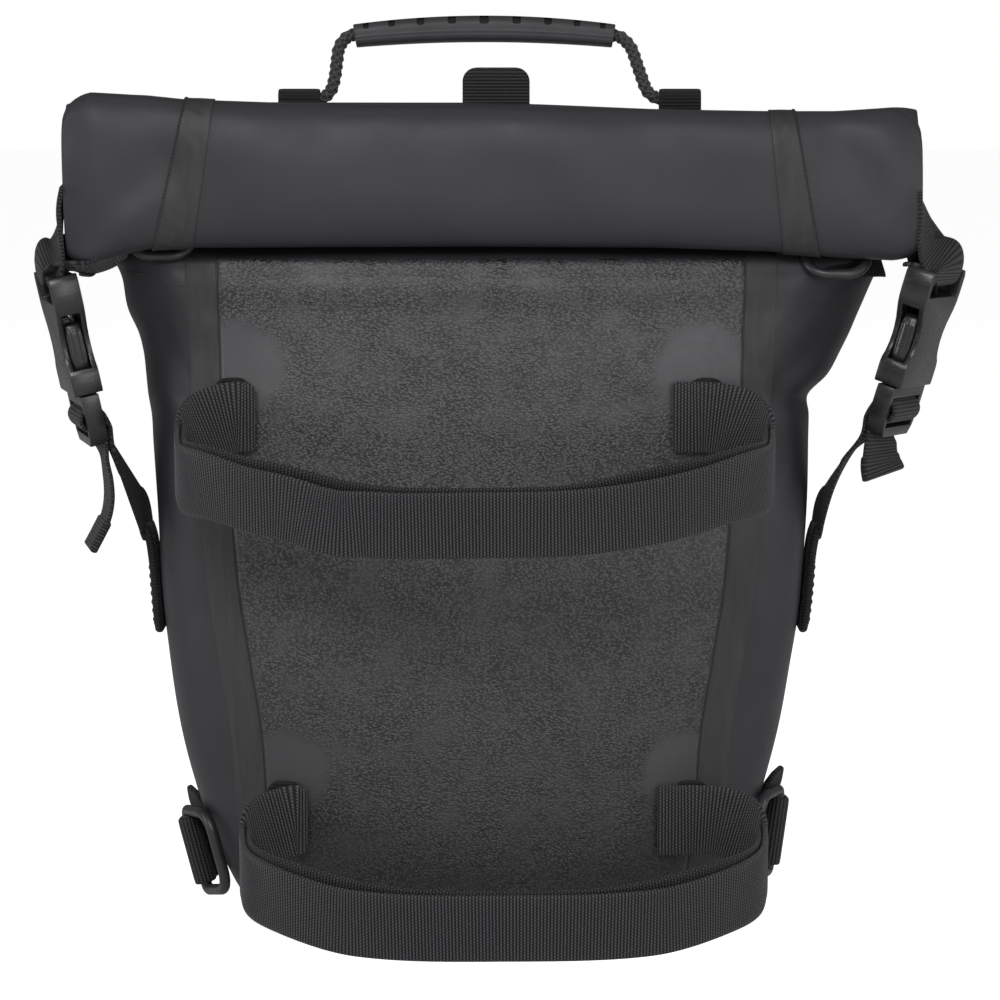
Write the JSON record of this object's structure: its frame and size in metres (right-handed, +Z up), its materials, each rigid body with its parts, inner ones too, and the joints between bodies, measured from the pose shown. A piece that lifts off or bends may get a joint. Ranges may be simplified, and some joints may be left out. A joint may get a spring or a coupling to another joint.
{
  "type": "tail bag",
  "caption": "Roll-top waterproof motorcycle tail bag with a textured back panel, hook-and-loop mounting straps, side-release buckles and a carrying handle.",
  "frame": {"origin": "middle of the flat base, on the surface that the bag stands on", "axes": "+Z up; the rack-facing back panel faces -Y; +X is to the right when looking at that panel"},
  "size_m": [0.3322, 0.1987, 0.334],
  "materials": {
    "tarpaulin": "matte coated tarpaulin",
    "grip_panel": "embossed anti-slip rubber",
    "board": "matte sheet",
    "seam_tape": "satin coated tape with stitching",
    "grip_rubber": "moulded rubber",
    "braided_cord": "braided",
    "buckle_plastic": "satin gloss moulded acetal",
    "ring_plastic": "satin moulded plastic",
    "loop_strap": "ribbed webbing",
    "hook_strap": "ribbed webbing, hook side inwards",
    "webbing": "woven webbing"
  },
  "bodies": {
    "bag": {"sack": "tarpaulin", "back_panel": "grip_panel", "back_board": "board", "base_board": "board", "side_tape_left": "tarpaulin", "side_tape_right": "tarpaulin", "rolled_top": "tarpaulin", "roll_stiffener": "board", "roll_tape_left": "seam_tape", "roll_tape_right": "seam_tape", "handle_tab_left": "webbing", "handle_tab_right": "webbing", "top_loop": "webbing", "front_strip": "webbing", "roll_webbing_left": "webbing", "roll_webbing_right": "webbing", "buckle_female_left": "buckle_plastic", "buckle_female_right": "buckle_plastic", "adjuster_left": "webbing", "adjuster_right": "webbing", "side_tab_left": "webbing", "side_tab_right": "webbing", "upper_ring_tab_left": "webbing", "upper_ring_tab_right": "webbing", "side_ring_tab_left": "webbing", "side_ring_tab_right": "webbing", "upper_root_left": "webbing", "upper_root_right": "webbing", "lower_root_left": "webbing", "lower_root_right": "webbing", "strap_anchor_tabs": "webbing"},
    "handle": {"handle_grip": "grip_rubber", "handle_cord": "braided_cord"},
    "male_left": {"buckle_male_left": "buckle_plastic", "tail_left": "webbing"},
    "prong_left_near": {"prong_left_near": "buckle_plastic"},
    "prong_left_far": {"prong_left_far": "buckle_plastic"},
    "male_right": {"buckle_male_right": "buckle_plastic", "tail_right": "webbing"},
    "prong_right_near": {"prong_right_near": "buckle_plastic"},
    "prong_right_far": {"prong_right_far": "buckle_plastic"},
    "upper_ring_left": {"upper_ring_left": "ring_plastic"},
    "upper_ring_right": {"upper_ring_right": "ring_plastic"},
    "side_ring_left": {"side_ring_left": "ring_plastic"},
    "side_ring_right": {"side_ring_right": "ring_plastic"},
    "upper_strap": {"upper_strap_outer": "loop_strap", "upper_strap_inner": "hook_strap"},
    "lower_strap": {"lower_strap_outer": "loop_strap", "lower_strap_inner": "hook_strap"}
  },
  "joints": [
    {"name": "handle_swing", "type": "hinge", "parent": "bag", "child": "handle", "pos_m": [0.0025, -0.0195, 0.3024], "axis": [1, 0, 0], "range_deg": [-100, 70]},
    {"name": "upper_strap_swing", "type": "hinge", "parent": "bag", "child": "upper_strap", "pos_m": [0, -0.072, 0.187], "axis": [1, 0, 0], "range_deg": [-38, 40]},
    {"name": "lower_strap_swing", "type": "hinge", "parent": "bag", "child": "lower_strap", "pos_m": [0, -0.072, 0.044], "axis": [1, 0, 0], "range_deg": [-33, 6]},
    {"name": "male_left_release", "type": "slide", "parent": "bag", "child": "male_left", "axis": [0.2085, 0.1051, -0.9724], "range_m": [0, 0.03], "deforming": ["adjuster_left"]},
    {"name": "prong_left_near_squeeze", "type": "hinge", "parent": "male_left", "child": "prong_left_near", "pos_m": [-0.1405, -0.04586, 0.19994], "axis": [-0.9447, -0.2357, -0.228], "range_deg": [0, 6], "stiffness_Nm_per_rad": 1},
    {"name": "prong_left_far_squeeze", "type": "hinge", "parent": "male_left", "child": "prong_left_far", "pos_m": [-0.14486, -0.02925, 0.2008], "axis": [0.9447, 0.2357, 0.228], "range_deg": [0, 6], "stiffness_Nm_per_rad": 1},
    {"name": "male_right_release", "type": "slide", "parent": "bag", "child": "male_right", "axis": [-0.2749, 0.1283, -0.9529], "range_m": [0, 0.03], "deforming": ["adjuster_right"]},
    {"name": "prong_right_near_squeeze", "type": "hinge", "parent": "male_right", "child": "prong_right_near", "pos_m": [0.14562, -0.04731, 0.20323], "axis": [-0.8567, 0.4173, 0.3033], "range_deg": [0, 6], "stiffness_Nm_per_rad": 1},
    {"name": "prong_right_far_squeeze", "type": "hinge", "parent": "male_right", "child": "prong_right_far", "pos_m": [0.15313, -0.03184, 0.20315], "axis": [0.8567, -0.4173, -0.3033], "range_deg": [0, 6], "stiffness_Nm_per_rad": 1},
    {"name": "upper_ring_left_swing", "type": "hinge", "parent": "bag", "child": "upper_ring_left", "pos_m": [-0.1136, -0.0357, 0.259], "axis": [-1, 0, 0], "range_deg": [0, 5]},
    {"name": "upper_ring_right_swing", "type": "hinge", "parent": "bag", "child": "upper_ring_right", "pos_m": [0.125, -0.0394, 0.2538], "axis": [-1, 0, 0], "range_deg": [0, 5]},
    {"name": "side_ring_left_swing", "type": "hinge", "parent": "bag", "child": "side_ring_left", "pos_m": [-0.1035, -0.018, 0.0315], "axis": [0.2588, 0, -0.9659], "range_deg": [0, 100]},
    {"name": "side_ring_right_swing", "type": "hinge", "parent": "bag", "child": "side_ring_right", "pos_m": [0.1055, -0.014, 0.038], "axis": [0.1392, 0, 0.9903], "range_deg": [0, 100]}
  ],
  "couplings": [
    {"joint": "prong_left_far_squeeze", "follows": "prong_left_near_squeeze", "ratio": 1},
    {"joint": "prong_right_far_squeeze", "follows": "prong_right_near_squeeze", "ratio": 1}
  ]
}
